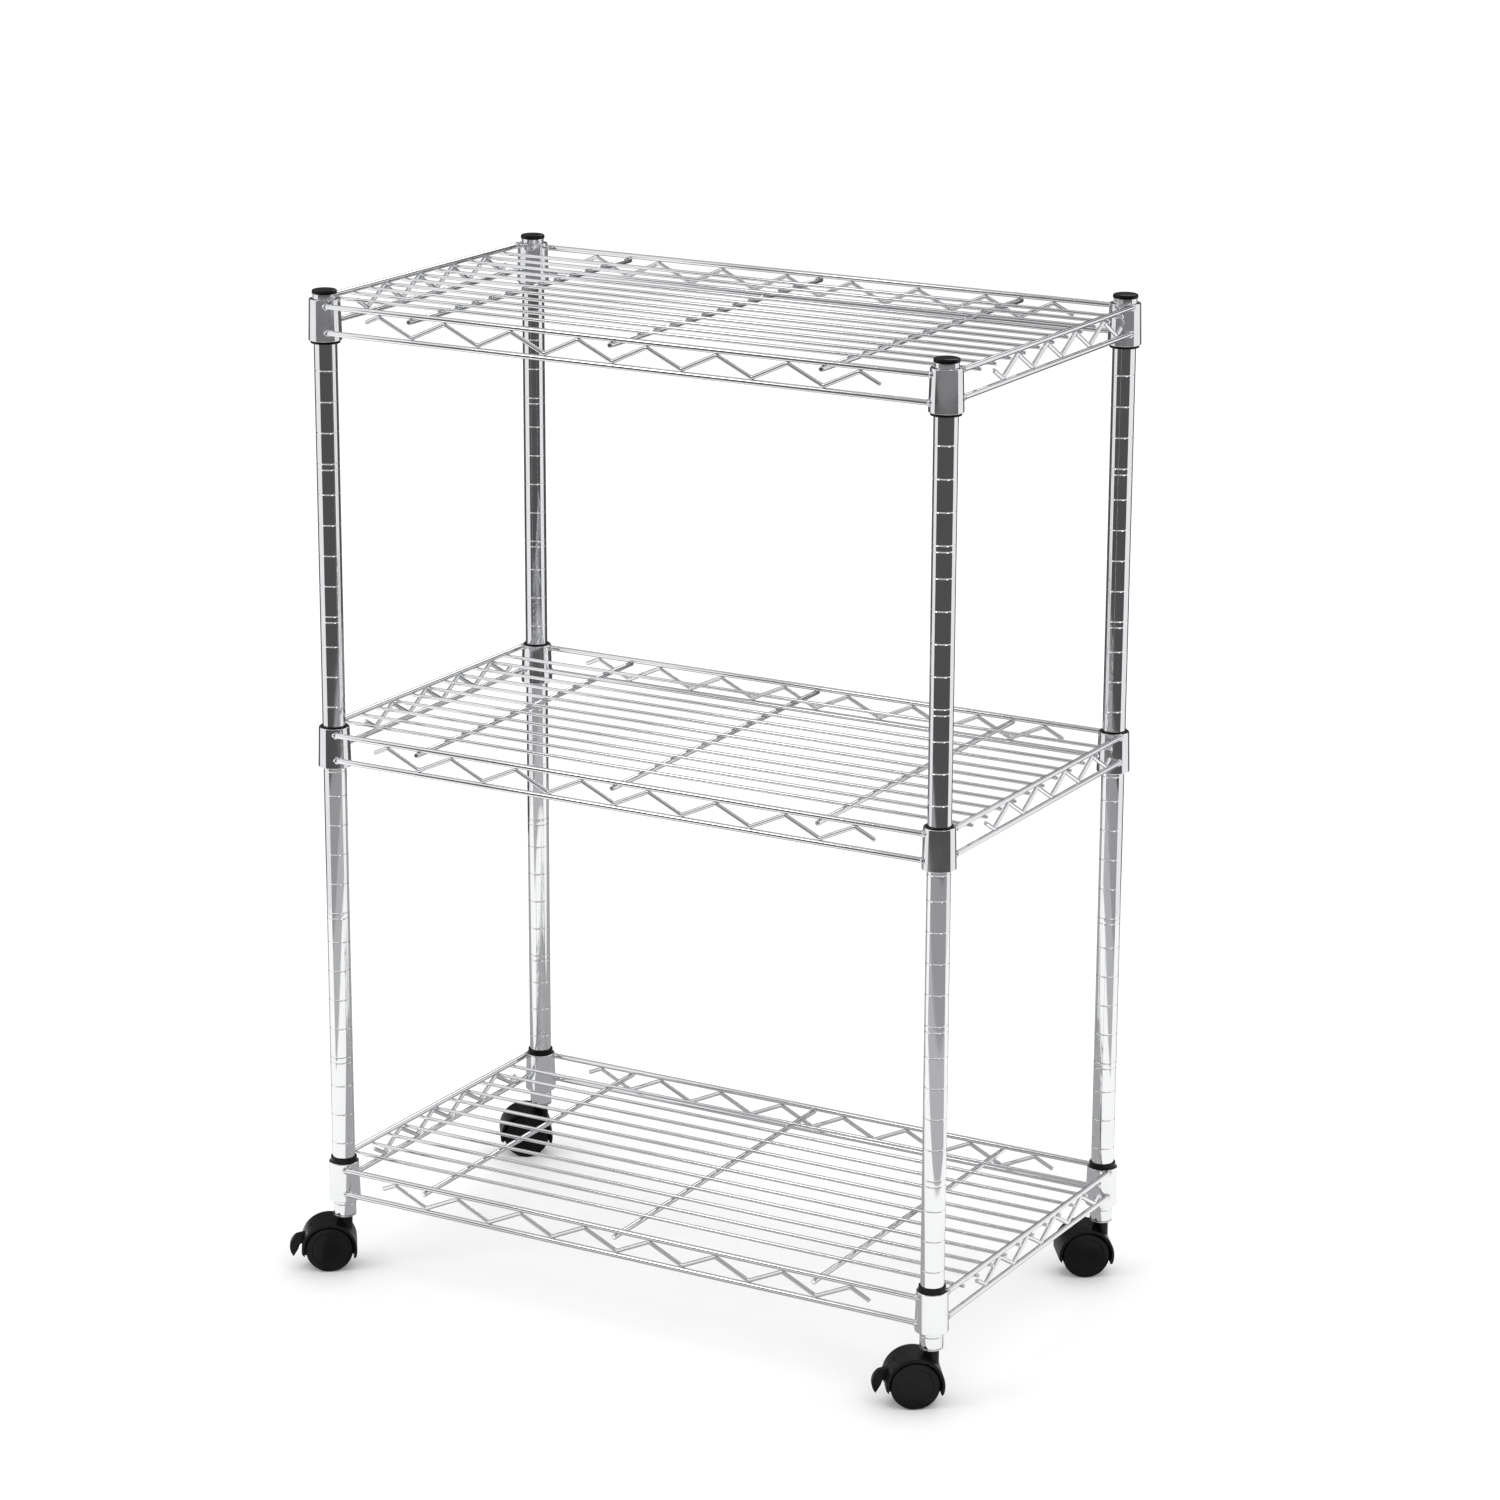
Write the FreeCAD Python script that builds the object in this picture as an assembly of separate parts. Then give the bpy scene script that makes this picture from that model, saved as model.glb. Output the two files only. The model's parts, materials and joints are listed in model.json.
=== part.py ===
import FreeCAD, Part
import math
import os

os.makedirs("parts", exist_ok=True)

# Wire shelving rack on twin-wheel casters. Millimetres, +Z up, origin on the floor under the
# rack's centre. The long side runs along X, and the front is towards -Y.

# Overall
post_span_x = 560.0         # post axis to post axis, long side
post_span_y = 311.0         # post axis to post axis, short side
overall_height = 840.0      # floor to the top of the post caps

# Posts
post_diameter = 19.0
post_wall = 1.2
groove_pitch = 25.4
groove_width = 1.4
groove_depth = 0.5
groove_below_cap = 11.4     # post's top edge to its first groove
double_every = 5            # every fifth groove is a double one
double_gap = 4.9            # between the two lines of a double groove

# Post caps
cap_overlap = 0.7           # cap's edge beyond the post, all round
cap_thickness = 3.5
cap_rounding = 1.4
cap_plug_length = 14.0
cap_plug_wall = 1.6

# Inserts at the foot of each post
insert_rim = 1.0
insert_plug_length = 24.0
caster_hood_gap = 3.9       # hood's crown to the underside of the insert's rim

# Collars and split sleeves
collar_height = 33.6
collar_taper = 1.0          # lower radius less upper radius
collar_wall = 1.6
sleeve_wall = 1.55          # split sleeve's wall at the collar's top
collar_edge = 0.5
sleeve_length = 35.0
sleeve_split = 0.8
ridge_side_clearance = 0.1

# Shelves: the groove that each one's sleeves sit in, and how far the sleeves rise above the collars
shelf_names = ("top", "middle", "bottom")
grooves_below_bottom = 1    # grooves left under the one that the bottom shelf sits in
lower_bay_grooves = 15      # bottom shelf to middle shelf
sleeve_rises = {"top": -1.0, "middle": 1.2, "bottom": 4.4}
seat_above_collar_centre = 9.6

# Shelf wires
rail_diameter = 4.5
truss_diameter = 3.5
crossbar_diameter = 4.5
deck_diameter = 3.0
rail_inset = 3.15           # collar's upper edge to rail axis, inwards
rail_spacing = 21.3         # upper rail axis to lower rail axis
rail_below_collar_top = 4.9
weld_bite = 0.15            # how far crossing wires melt into each other
deck_pitch = 24.8
deck_margin = 30.0          # least distance from a post axis to the first deck wire
deck_overhang = 3.6         # deck wire's end beyond the side rail's axis
crossbar_overhang = 4.4     # crossbar's end beyond the long rail's axis
bead_radius = 3.3
bead_face_radius = 1.9
bead_deep = 1.9             # half the bead's thickness
bead_rim = 0.6              # half the thickness of its rim
bead_out = 0.5

# Zigzag trusses
truss_bend = 4.0
long_truss_pitch = 61.9
long_truss_start = 58.6     # left post axis to the first peak
long_truss_end = 50.0       # least distance from the last peak to the right post axis
long_tails = (12.4, 17.7)
side_truss_pitch = 50.4
side_truss_start = 73.7     # front post axis to the first valley
side_truss_end = 30.0
side_tails = (15.2, 8.1)

# Casters
wheel_radius = 20.0
wheel_width = 11.0
wheel_rounding = 1.6
wheel_dish_depth = 0.8
wheel_rim_width = 5.0       # wheel's edge to its dished face
wheel_hub_gap = 0.5         # wheel to housing core
wheel_end_wall = 2.4
caster_trail = 13.9
caster_heading = 215.0      # degrees from +X, the way the wheels trail
core_half_width = 4.6
core_low_reach = 8.0        # how far the core hangs below the axle
core_socket_floor = 3.0
neck_radius = 6.2
neck_clearance = 0.5
hood_wheel_gap = 1.5
hood_wall = 2.0
hood_edge_radius = 0.9
hood_side_gap = 0.6         # hood's edge beyond the wheel's outer face
hood_front_drop = 7.3       # how far the hood's ends hang below the axle
hood_rear_drop = 4.6
hood_end_taper = 2.2        # from the outer edge of each end to its tip
stem_diameter = 8.0
stem_depth = 10.0
stem_clearance = 0.05
stem_floor_gap = 0.5
axle_diameter = 6.0
axle_clearance = 0.05
axle_end_gap = 0.5

# Brake lever, on the front casters. Places are (distance behind the axle, height above it).
lever_width = 6.0
lever_side_clearance = 0.4
lever_pivot_inset = 2.3     # hood's inner face to the pivot, towards the axle
lever_pivot_angle = 28.0
lever_pin_diameter = 3.0
lever_pin_clearance = 0.05
lever_hub_radius = 3.2
lever_top_angle = 49.0
lever_neck_angle = 30.0
lever_face_inset = 0.2      # lever's back below the hood's outer face
lever_depth = 3.2           # lever's thickness inside the slot
slot_end_gap = 0.7          # lever's upper end to the end of its slot
slot_back_gap = 1.0
paddle_top = (4.4, 9.7)     # distances here are from the hood's outer face
paddle_face = (9.8, 1.4)
paddle_tip = (6.9, -9.2)
paddle_heel = (2.9, -2.6)
paddle_notch = (1.5, 1.4)

# Worked out from the values above
hood_inner_radius = wheel_radius + hood_wheel_gap
hood_outer_radius = hood_inner_radius + hood_wall
post_underside = wheel_radius + hood_outer_radius + caster_hood_gap
post_radius = post_diameter / 2
post_bore = post_radius - post_wall
cap_radius = post_radius + cap_overlap
post_top = overall_height - cap_thickness
post_bottom = post_underside + insert_rim
first_groove = post_top - groove_below_cap
last_groove = int((first_groove - post_bottom - groove_width) / groove_pitch)
bottom_seat = last_groove - grooves_below_bottom
seat_grooves = {"top": 0, "middle": bottom_seat - lower_bay_grooves, "bottom": bottom_seat}
collar_top_radius = post_radius + sleeve_wall + collar_wall
collar_bottom_radius = collar_top_radius + collar_taper
collar_slope = collar_taper / collar_height
rail_outset = collar_top_radius - rail_inset
long_rail_y = post_span_y / 2 + rail_outset
side_rail_x = post_span_x / 2 + rail_outset
crossbar_drop = (rail_diameter + crossbar_diameter) / 2 - weld_bite
deck_rise = (crossbar_diameter + deck_diameter) / 2 - weld_bite - crossbar_drop
side_rail_rise = deck_rise + (deck_diameter + rail_diameter) / 2 - weld_bite
truss_inset = (rail_diameter + truss_diameter) / 2 - weld_bite
truss_rise = rail_spacing - 2 * truss_inset
wheel_inner = core_half_width + wheel_hub_gap
wheel_outer = wheel_inner + wheel_width
wheel_dish_radius = wheel_radius - wheel_rim_width
hood_half_width = wheel_outer + hood_side_gap
axle_half_length = wheel_outer - wheel_end_wall - axle_end_gap

Z = FreeCAD.Vector(0, 0, 1)
ORIGIN = FreeCAD.Vector(0, 0, 0)

post_places = {
    "front_left": (-post_span_x / 2, -post_span_y / 2),
    "front_right": (post_span_x / 2, -post_span_y / 2),
    "back_left": (-post_span_x / 2, post_span_y / 2),
    "back_right": (post_span_x / 2, post_span_y / 2),
}
braked = ("front_left", "front_right")


def vec(x, y, z):
    return FreeCAD.Vector(x, y, z)


def save(name, solids):
    shape = solids[0] if len(solids) == 1 else Part.makeCompound(solids)
    shape.exportStep("parts/" + name + ".step")


def turned(outline, angle=360.0, start=0.0):
    """Solid of revolution about Z from (radius, height) points."""
    points = [vec(r, 0, z) for r, z in outline]
    face = Part.Face(Part.makePolygon(points + points[:1]))
    solid = face.revolve(ORIGIN, Z, angle)
    solid.rotate(ORIGIN, Z, start)
    return solid


def at_post(shape, place):
    copy = shape.copy()
    copy.translate(vec(place[0], place[1], 0))
    return copy


def at_all_posts(shapes):
    return [at_post(shape, place) for place in post_places.values() for shape in shapes]


def rod(start, end, diameter):
    along = end - start
    return Part.makeCylinder(diameter / 2, along.Length, start, along)


def bent_rod(points, bend, diameter):
    """Round wire through points in one plane, with an arc at each corner."""
    edges = []
    last = points[0]
    for before, corner, after in zip(points, points[1:], points[2:]):
        back = (before - corner).normalize()
        ahead = (after - corner).normalize()
        half = back.getAngle(ahead) / 2
        cut = bend / math.tan(half)
        middle = corner + (back + ahead).normalize() * (bend / math.sin(half) - bend)
        arc_start = corner + back * cut
        arc_end = corner + ahead * cut
        edges.append(Part.LineSegment(last, arc_start).toShape())
        edges.append(Part.Arc(arc_start, middle, arc_end).toShape())
        last = arc_end
    edges.append(Part.LineSegment(last, points[-1]).toShape())
    section = Part.Wire(Part.makeCircle(diameter / 2, points[0], points[1] - points[0]))
    return Part.Wire(edges).makePipeShell([section], True, False)


# Posts, caps and inserts

def groove_heights():
    heights = []
    index = 0
    while first_groove - index * groove_pitch > post_bottom + groove_width:
        height = first_groove - index * groove_pitch
        heights.append(height)
        if index % double_every == 0 and height - double_gap > post_bottom + groove_width:
            heights.append(height - double_gap)
        index += 1
    return sorted(heights)


def make_post():
    outline = [(post_bore, post_bottom), (post_radius, post_bottom)]
    for height in groove_heights():
        low = height - groove_width / 2
        high = height + groove_width / 2
        bottom = post_radius - groove_depth
        outline += [(post_radius, low), (bottom, low), (bottom, high), (post_radius, high)]
    outline += [(post_radius, post_top), (post_bore, post_top)]
    return turned(outline)


def make_cap():
    outline = [(0, post_top), (post_bore - cap_plug_wall, post_top),
               (post_bore - cap_plug_wall, post_top - cap_plug_length),
               (post_bore, post_top - cap_plug_length), (post_bore, post_top),
               (cap_radius, post_top), (cap_radius, overall_height), (0, overall_height)]
    cap = turned(outline)
    rims = [edge for edge in cap.Edges
            if abs(edge.BoundBox.ZMin - overall_height) < 0.01 and edge.BoundBox.XLength > cap_radius]
    return cap.makeFillet(cap_rounding, rims)


def make_insert():
    hole = stem_diameter / 2
    top = post_bottom + insert_plug_length
    return turned([(hole, post_underside), (post_radius, post_underside), (post_radius, post_bottom),
                   (post_bore, post_bottom), (post_bore, top), (hole, top)])


# Shelf corners

def seat_height(shelf):
    return first_groove - seat_grooves[shelf] * groove_pitch


def collar_top(shelf):
    return seat_height(shelf) - seat_above_collar_centre + collar_height / 2


def cone_radius(shelf, height):
    """Outer radius of a shelf's collar cone at a height."""
    return collar_top_radius + collar_slope * (collar_top(shelf) - height)


def make_collar(shelf):
    top = collar_top(shelf)
    low = top - collar_height
    inner_top = collar_top_radius - collar_wall
    inner_low = collar_bottom_radius - collar_wall
    return turned([(inner_low, low), (collar_bottom_radius - collar_edge, low),
                   (cone_radius(shelf, low + collar_edge), low + collar_edge),
                   (cone_radius(shelf, top - collar_edge), top - collar_edge),
                   (collar_top_radius - collar_edge, top), (inner_top, top)])


def make_sleeve_halves(shelf):
    top = collar_top(shelf) + sleeve_rises[shelf]
    low = top - sleeve_length
    seat = seat_height(shelf)
    ridge = groove_width / 2 - ridge_side_clearance
    ridge_radius = post_radius - groove_depth
    outline = [(post_radius, low), (cone_radius(shelf, low) - collar_wall, low),
               (cone_radius(shelf, top) - collar_wall, top), (post_radius, top),
               (post_radius, seat + ridge), (ridge_radius, seat + ridge),
               (ridge_radius, seat - ridge), (post_radius, seat - ridge)]
    split_angle = math.degrees(sleeve_split / post_radius)
    return [turned(outline, 180 - split_angle, start) for start in (0, 180)]


# Shelf wires

def rail_heights(shelf):
    upper = collar_top(shelf) - rail_below_collar_top
    return upper, upper - rail_spacing


def collar_cones(shelf):
    """Solid cones that cope the rail ends to the collars."""
    top = collar_top(shelf) + collar_height
    low = collar_top(shelf) - 2 * collar_height
    cone = turned([(0, low), (cone_radius(shelf, low), low), (cone_radius(shelf, top), top), (0, top)])
    return Part.makeCompound(at_all_posts([cone]))


def make_long_rails(shelf):
    rails = []
    half = post_span_x / 2
    for side in (-1, 1):
        for height in rail_heights(shelf):
            start = vec(-half, side * long_rail_y, height)
            rails.append(rod(start, start + vec(2 * half, 0, 0), rail_diameter))
    return [longest_piece(rail.cut(collar_cones(shelf))) for rail in rails]


def make_side_rails(shelf):
    rails = []
    half = post_span_y / 2
    for side in (-1, 1):
        for height in rail_heights(shelf):
            start = vec(side * side_rail_x, -half, height + side_rail_rise)
            rails.append(rod(start, start + vec(0, 2 * half, 0), rail_diameter))
    return [longest_piece(rail.cut(collar_cones(shelf))) for rail in rails]


def longest_piece(shape):
    return max(shape.Solids, key=lambda solid: solid.Volume)


def zigzag(count, pitch, start, peak_first, tails, peak_height):
    """Corners of a truss wire as (distance, height), with its tails cut short."""
    half = pitch / 2
    slope = math.atan2(truss_rise, half)
    overshoot = truss_bend * (1 / math.cos(slope) - 1)
    peak = peak_height + overshoot
    valley = peak_height - truss_rise - overshoot
    corners = []
    for index in range(2 * count - 1):
        at_peak = (index % 2 == 0) == peak_first
        corners.append((start + index * half, peak if at_peak else valley))
    step = (valley - peak) / half if peak_first else (peak - valley) / half
    first = (corners[0][0] - tails[0], corners[0][1] + step * tails[0])
    last = (corners[-1][0] + tails[1], corners[-1][1] + step * tails[1])
    return [first] + corners + [last]


def long_peak_count():
    return int((post_span_x - long_truss_start - long_truss_end) / long_truss_pitch) + 1


def side_valley_count():
    return int((post_span_y - side_truss_start - side_truss_end) / side_truss_pitch) + 1


def make_long_trusses(shelf):
    peak_height = rail_heights(shelf)[0] - truss_inset
    corners = zigzag(long_peak_count(), long_truss_pitch, long_truss_start - post_span_x / 2,
                     True, long_tails, peak_height)
    return [bent_rod([vec(x, y, z) for x, z in corners], truss_bend, truss_diameter)
            for y in (-long_rail_y, long_rail_y)]


def make_side_trusses(shelf):
    peak_height = rail_heights(shelf)[0] + side_rail_rise - truss_inset
    corners = zigzag(side_valley_count(), side_truss_pitch, side_truss_start - post_span_y / 2,
                     False, side_tails, peak_height)
    return [bent_rod([vec(x, y, z) for y, z in corners], truss_bend, truss_diameter)
            for x in (-side_rail_x, side_rail_x)]


def crossbar_places():
    """Each crossbar stands over a valley of the long trusses, clear of the zigzag wire."""
    first = long_truss_start + long_truss_pitch / 2 - post_span_x / 2
    last_valley = long_peak_count() - 2
    return [first + valley * long_truss_pitch for valley in (0, last_valley // 2, last_valley)]


def make_crossbars(shelf):
    height = rail_heights(shelf)[0] - crossbar_drop
    end = long_rail_y + crossbar_overhang
    return [rod(vec(x, -end, height), vec(x, end, height), crossbar_diameter)
            for x in crossbar_places()]


def make_deck_wires(shelf):
    height = rail_heights(shelf)[0] + deck_rise
    end = side_rail_x + deck_overhang
    count = int((post_span_y - 2 * deck_margin) / deck_pitch) + 1
    places = [(index - (count - 1) / 2) * deck_pitch for index in range(count)]
    return [rod(vec(-end, y, height), vec(end, y, height), deck_diameter) for y in places]


def make_weld_beads(shelf):
    """One round bead on each rail end, against the collar."""
    beads = []
    for x, y in post_places.values():
        for along_x in (True, False):
            for height in rail_heights(shelf):
                level = height if along_x else height + side_rail_rise
                radius = cone_radius(shelf, level)
                angle = math.asin(rail_outset / radius)
                inward = math.cos(angle) * (radius + bead_out)
                outward = math.sin(angle) * (radius + bead_out)
                towards_x = -math.copysign(inward, x) if along_x else math.copysign(outward, x)
                towards_y = math.copysign(outward, y) if along_x else -math.copysign(inward, y)
                beads.append(make_bead(towards_x, towards_y, vec(x, y, level)))
    return beads


def make_bead(dx, dy, post_point):
    bead = turned([(0, -bead_deep), (bead_face_radius, -bead_deep), (bead_radius, -bead_rim),
                   (bead_radius, bead_rim), (bead_face_radius, bead_deep), (0, bead_deep)])
    bead.rotate(ORIGIN, vec(0, 1, 0), 90)
    bead.rotate(ORIGIN, Z, math.degrees(math.atan2(dy, dx)))
    bead.translate(post_point + vec(dx, dy, 0))
    return bead


# Casters, drawn with the swivel axis on Z and the wheels trailing along +X

def wheel_outline():
    """(radius, distance from the caster's middle) of one wheel, with a dished outer face."""
    bore = axle_diameter / 2 + axle_clearance
    bore_end = wheel_outer - wheel_end_wall
    rim_inner = wheel_inner + wheel_rounding
    rim_outer = wheel_outer - wheel_rounding
    return [(bore, wheel_inner), (wheel_radius - wheel_rounding, wheel_inner), (wheel_radius, rim_inner),
            (wheel_radius, rim_outer), (wheel_radius - wheel_rounding, wheel_outer),
            (wheel_dish_radius, wheel_outer), (wheel_dish_radius - wheel_dish_depth,
                                               wheel_outer - wheel_dish_depth),
            (0, wheel_outer - wheel_dish_depth), (0, bore_end), (bore, bore_end)]


def make_wheel(side):
    wheel = turned(wheel_outline())
    wheel.rotate(ORIGIN, vec(1, 0, 0), -90 * side)
    wheel.translate(vec(caster_trail, 0, wheel_radius))
    return wheel


def make_axle():
    return rod(vec(caster_trail, -axle_half_length, wheel_radius),
               vec(caster_trail, axle_half_length, wheel_radius), axle_diameter)


def make_stem():
    top = post_bottom + insert_plug_length
    low = post_underside - stem_depth
    return rod(vec(0, 0, low), vec(0, 0, top), stem_diameter)


def across(outline, half_width):
    """Plate from (x, z) points, between y = -half_width and +half_width."""
    points = [vec(x, -half_width, z) for x, z in outline]
    face = Part.Face(Part.makePolygon(points + points[:1]))
    return face.extrude(vec(0, 2 * half_width, 0))


def barrel(radius, half_width, x, z):
    return Part.makeCylinder(radius, 2 * half_width, vec(x, -half_width, z), vec(0, 1, 0))


def make_hood_arch():
    ring = barrel(hood_outer_radius, hood_half_width, caster_trail, wheel_radius)
    ring = ring.makeFillet(hood_edge_radius, [edge for edge in ring.Edges if edge.Closed])
    ring = ring.cut(barrel(hood_inner_radius, hood_half_width + 1, caster_trail, wheel_radius))
    reach = 2 * hood_outer_radius
    front_tip = wheel_radius - hood_front_drop
    rear_tip = wheel_radius - hood_rear_drop
    below = across([(caster_trail - reach, front_tip + hood_end_taper),
                    (caster_trail - hood_outer_radius, front_tip + hood_end_taper),
                    (caster_trail - hood_inner_radius, front_tip),
                    (caster_trail + hood_inner_radius, rear_tip),
                    (caster_trail + hood_outer_radius, rear_tip + hood_end_taper),
                    (caster_trail + reach, rear_tip + hood_end_taper),
                    (caster_trail + reach, wheel_radius - reach),
                    (caster_trail - reach, wheel_radius - reach)], hood_half_width + 1)
    return ring.cut(below)


def make_core():
    """Middle web that carries the axle, and the neck with the stem's socket."""
    disc = barrel(hood_inner_radius + hood_wall / 2, core_half_width, caster_trail, wheel_radius)
    low = wheel_radius - core_low_reach
    keep = across([(caster_trail - hood_outer_radius, low), (caster_trail + hood_outer_radius, low),
                   (caster_trail + hood_outer_radius, overall_height),
                   (caster_trail - hood_outer_radius, overall_height)], core_half_width + 1)
    neck_top = post_underside - neck_clearance
    neck_low = post_underside - stem_depth - stem_floor_gap - core_socket_floor
    neck = Part.makeCylinder(neck_radius, neck_top - neck_low, vec(0, 0, neck_low))
    return disc.common(keep), neck


def wheel_wells():
    """Room for the two wheels, which the neck is trimmed to."""
    wells = []
    depth = hood_half_width + 1 - core_half_width
    for low_y in (core_half_width, -core_half_width - depth):
        wells.append(Part.makeCylinder(hood_inner_radius, depth,
                                       vec(caster_trail, low_y, wheel_radius), vec(0, 1, 0)))
    return wells


def make_housing(place):
    web, neck = make_core()
    for well in wheel_wells():
        neck = neck.cut(well)
    body = make_hood_arch().fuse(web).fuse(neck)
    socket_low = post_underside - stem_depth - stem_floor_gap
    socket = Part.makeCylinder(stem_diameter / 2 + stem_clearance, overall_height, vec(0, 0, socket_low))
    axle_hole = barrel(axle_diameter / 2, core_half_width + 1, caster_trail, wheel_radius)
    body = body.cut(socket).cut(axle_hole)
    if place in braked:
        body = body.cut(lever_slot())
    return longest_piece(body.removeSplitter())


def round_axle(radius, angle):
    """(x, z) of the point at a radius from the axle, and an angle above its rear side."""
    turn = math.radians(angle)
    return caster_trail + radius * math.cos(turn), wheel_radius + radius * math.sin(turn)


def past_hood(place):
    return caster_trail + hood_outer_radius + place[0], wheel_radius + place[1]


def lever_pivot():
    return round_axle(hood_inner_radius - lever_pivot_inset, lever_pivot_angle)


def lever_slot():
    """Slot in the hood and core for the lever and its swing, with the holes for its pin."""
    half = lever_width / 2 + lever_side_clearance
    pivot_x, pivot_z = lever_pivot()
    inner_radius = hood_outer_radius - lever_face_inset - lever_depth
    end_angle = lever_top_angle + math.degrees(slot_end_gap / inner_radius)
    inner_end = round_axle(inner_radius - slot_back_gap, end_angle)
    outer_end = round_axle(hood_outer_radius + 1, end_angle)
    back = min(pivot_x - lever_hub_radius - slot_back_gap, inner_end[0])
    low = wheel_radius - core_low_reach - 1
    reach = caster_trail + hood_outer_radius + 1
    slot = across([(back, low), (reach, low), (reach, outer_end[1]), outer_end, inner_end,
                   (back, inner_end[1])], half)
    return slot.fuse(barrel(lever_pin_diameter / 2, core_half_width + 1, pivot_x, pivot_z))


def make_lever_pin():
    pivot_x, pivot_z = lever_pivot()
    return barrel(lever_pin_diameter / 2, core_half_width, pivot_x, pivot_z)


def line_edge(start, end, y):
    return Part.LineSegment(vec(start[0], y, start[1]), vec(end[0], y, end[1])).toShape()


def arc_edge(start, middle, end, y):
    return Part.Arc(vec(start[0], y, start[1]), vec(middle[0], y, middle[1]),
                    vec(end[0], y, end[1])).toShape()


def make_lever():
    """Curved lever that fills the hood's slot, with a hooked paddle outside it."""
    half = lever_width / 2
    pivot_x, pivot_z = lever_pivot()
    face_radius = hood_outer_radius - lever_face_inset
    inner_radius = face_radius - lever_depth
    face_end = round_axle(face_radius, lever_top_angle)
    face_middle = round_axle(face_radius, (lever_top_angle + lever_neck_angle) / 2)
    face_start = round_axle(face_radius, lever_neck_angle)
    inner_end = round_axle(inner_radius, lever_top_angle)
    hub_back = (pivot_x - lever_hub_radius, pivot_z)
    hub_low = (pivot_x, pivot_z - lever_hub_radius)
    edges = [arc_edge(past_hood(paddle_tip), past_hood(paddle_face), past_hood(paddle_top), -half),
             line_edge(past_hood(paddle_top), face_start, -half),
             arc_edge(face_start, face_middle, face_end, -half),
             line_edge(face_end, inner_end, -half)]
    inside = [inner_end, hub_back, hub_low, past_hood(paddle_notch), past_hood(paddle_heel),
              past_hood(paddle_tip)]
    edges += [line_edge(start, end, -half) for start, end in zip(inside, inside[1:])]
    plate = Part.Face(Part.Wire(edges)).extrude(vec(0, lever_width, 0))
    hub = barrel(lever_hub_radius, half, pivot_x, pivot_z)
    bore = barrel(lever_pin_diameter / 2 + lever_pin_clearance, half + 1, pivot_x, pivot_z)
    return plate.fuse(hub).cut(bore).removeSplitter()


def on_caster(shape, place):
    copy = shape.copy()
    copy.rotate(ORIGIN, Z, caster_heading)
    return at_post(copy, post_places[place])


# Write every node

for name, place in post_places.items():
    save("post_" + name, [at_post(make_post(), place)])
save("post_caps", at_all_posts([make_cap()]))
save("post_inserts", at_all_posts([make_insert()]))

for shelf in shelf_names:
    save(shelf + "_shelf_collars", at_all_posts([make_collar(shelf)]))
    save(shelf + "_shelf_sleeves", at_all_posts(make_sleeve_halves(shelf)))
    save(shelf + "_shelf_long_rails", make_long_rails(shelf))
    save(shelf + "_shelf_side_rails", make_side_rails(shelf))
    save(shelf + "_shelf_long_trusses", make_long_trusses(shelf))
    save(shelf + "_shelf_side_trusses", make_side_trusses(shelf))
    save(shelf + "_shelf_crossbars", make_crossbars(shelf))
    save(shelf + "_shelf_deck_wires", make_deck_wires(shelf))
    save(shelf + "_shelf_weld_beads", make_weld_beads(shelf))

for place in post_places:
    prefix = "caster_" + place
    save(prefix + "_stem", [on_caster(make_stem(), place)])
    save(prefix + "_housing", [on_caster(make_housing(place), place)])
    save(prefix + "_axle", [on_caster(make_axle(), place)])
    save(prefix + "_wheel_left", [on_caster(make_wheel(1), place)])
    save(prefix + "_wheel_right", [on_caster(make_wheel(-1), place)])
    if place in braked:
        save(prefix + "_brake_lever", [on_caster(make_lever(), place)])
        save(prefix + "_brake_pin", [on_caster(make_lever_pin(), place)])
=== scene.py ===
import json
import math

import bmesh
import bpy
from mathutils import Matrix, Vector, noise


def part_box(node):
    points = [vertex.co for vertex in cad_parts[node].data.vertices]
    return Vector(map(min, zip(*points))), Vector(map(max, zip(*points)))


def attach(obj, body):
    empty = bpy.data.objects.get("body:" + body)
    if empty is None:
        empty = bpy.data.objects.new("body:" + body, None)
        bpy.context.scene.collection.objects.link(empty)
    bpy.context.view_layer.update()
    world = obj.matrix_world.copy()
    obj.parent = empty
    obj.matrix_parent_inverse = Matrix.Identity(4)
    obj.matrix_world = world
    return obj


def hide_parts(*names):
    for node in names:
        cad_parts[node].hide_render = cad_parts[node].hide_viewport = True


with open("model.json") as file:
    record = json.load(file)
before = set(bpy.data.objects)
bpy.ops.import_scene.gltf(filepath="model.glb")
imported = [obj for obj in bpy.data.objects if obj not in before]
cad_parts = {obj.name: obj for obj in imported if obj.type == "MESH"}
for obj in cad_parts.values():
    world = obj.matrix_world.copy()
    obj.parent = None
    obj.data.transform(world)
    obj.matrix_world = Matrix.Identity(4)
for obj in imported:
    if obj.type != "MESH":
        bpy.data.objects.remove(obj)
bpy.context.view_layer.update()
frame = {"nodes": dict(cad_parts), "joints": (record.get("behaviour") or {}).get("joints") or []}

# Sizes that the frame's boxes don't give, in metres
groove_pitch = 0.0254
groove_below_top = 0.0114
groove_double_gap = 0.0049
groove_double_every = 5
groove_half_width = 0.0006
groove_depth = 0.00028
groove_steps = 4                # points on each side of a groove
post_wall = 0.0012
post_round = 0.0006

collar_wall = 0.0016
collar_round = 0.0006
collar_taper = 0.0010           # lower radius less upper radius
sleeve_split = 0.0008
sleeve_round = 0.0005

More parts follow.
